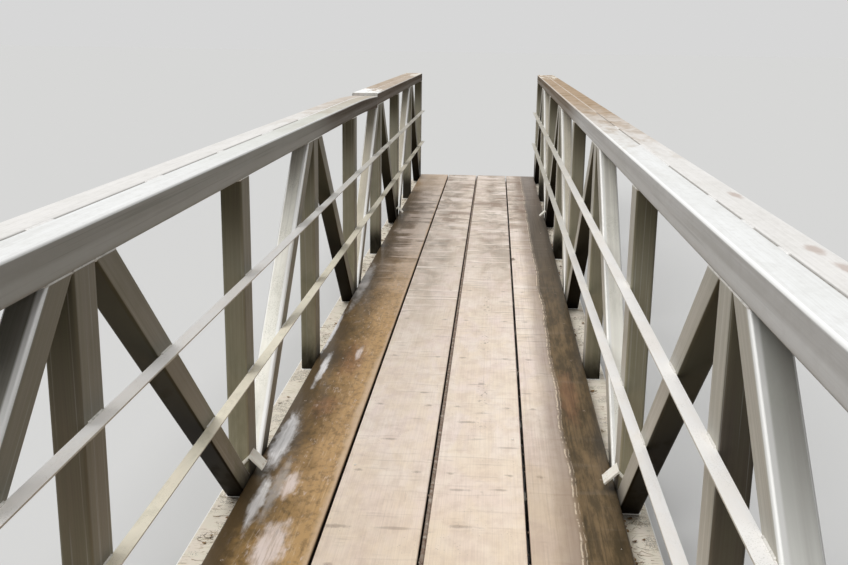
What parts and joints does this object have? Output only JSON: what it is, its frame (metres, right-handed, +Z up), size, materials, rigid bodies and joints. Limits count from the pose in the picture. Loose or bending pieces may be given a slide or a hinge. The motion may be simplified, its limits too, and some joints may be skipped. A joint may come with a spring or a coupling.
{
  "type": "trussed footbridge",
  "caption": "Narrow footbridge with welded aluminium truss sides that double as handrails, rub rails inside them, and a deck of long timber planks.",
  "frame": {"origin": "middle of the bridge at ground level, on the plane of the bearing plates' undersides", "axes": "+Y along the bridge towards its far end, +X to the right of someone who walks that way, +Z up"},
  "size_m": [1.482, 9.982, 1.181],
  "materials": {
    "handrail_chord": "mill finish, weathered to a pale grey bloom",
    "stained_chord": "mill finish with brown and green stains",
    "bottom_chord": "mill finish under a dirty film, grit and leaf litter",
    "post": "mill finish, olive with algae towards the foot",
    "diagonal": "mill finish with specks of algae",
    "upper_rub_rail": "mill finish, rubbed clean",
    "lower_rub_rail": "mill finish, cream with algae",
    "wet_plank": "rain-soaked softwood",
    "dry_plank": "dry, greyed softwood with cross marks",
    "floor_beam": "mill finish, dull",
    "bearing_plate": "mill finish, dull",
    "corner_angle": "mill finish"
  },
  "bodies": {
    "root": {"left_top_chord_near": "handrail_chord", "left_top_chord_far": "stained_chord", "right_top_chord": "handrail_chord", "left_bottom_chord": "bottom_chord", "right_bottom_chord": "bottom_chord", "left_post_0": "post", "left_post_1": "post", "left_post_2": "post", "left_post_3": "post", "left_post_4": "post", "left_post_5": "post", "left_post_6": "post", "left_post_7": "post", "left_post_8": "post", "right_post_0": "post", "right_post_1": "post", "right_post_2": "post", "right_post_3": "post", "right_post_4": "post", "right_post_5": "post", "right_post_6": "post", "right_post_7": "post", "right_post_8": "post", "left_diagonal_1": "diagonal", "left_diagonal_2": "diagonal", "left_diagonal_3": "diagonal", "left_diagonal_4": "diagonal", "left_diagonal_5": "diagonal", "left_diagonal_6": "diagonal", "left_diagonal_7": "diagonal", "left_diagonal_8": "diagonal", "right_diagonal_1": "diagonal", "right_diagonal_2": "diagonal", "right_diagonal_3": "diagonal", "right_diagonal_4": "diagonal", "right_diagonal_5": "diagonal", "right_diagonal_6": "diagonal", "right_diagonal_7": "diagonal", "right_diagonal_8": "diagonal", "left_upper_rub_rail": "upper_rub_rail", "left_lower_rub_rail": "lower_rub_rail", "right_upper_rub_rail": "upper_rub_rail", "right_lower_rub_rail": "lower_rub_rail", "deck_plank_1": "wet_plank", "deck_plank_2": "dry_plank", "deck_plank_3": "dry_plank", "deck_plank_4": "wet_plank", "post_floor_beams": "floor_beam", "middle_floor_beams": "floor_beam", "left_bearing_plates": "bearing_plate", "right_bearing_plates": "bearing_plate", "left_corner_angles": "corner_angle", "right_corner_angles": "corner_angle"}
  },
  "joints": []
}
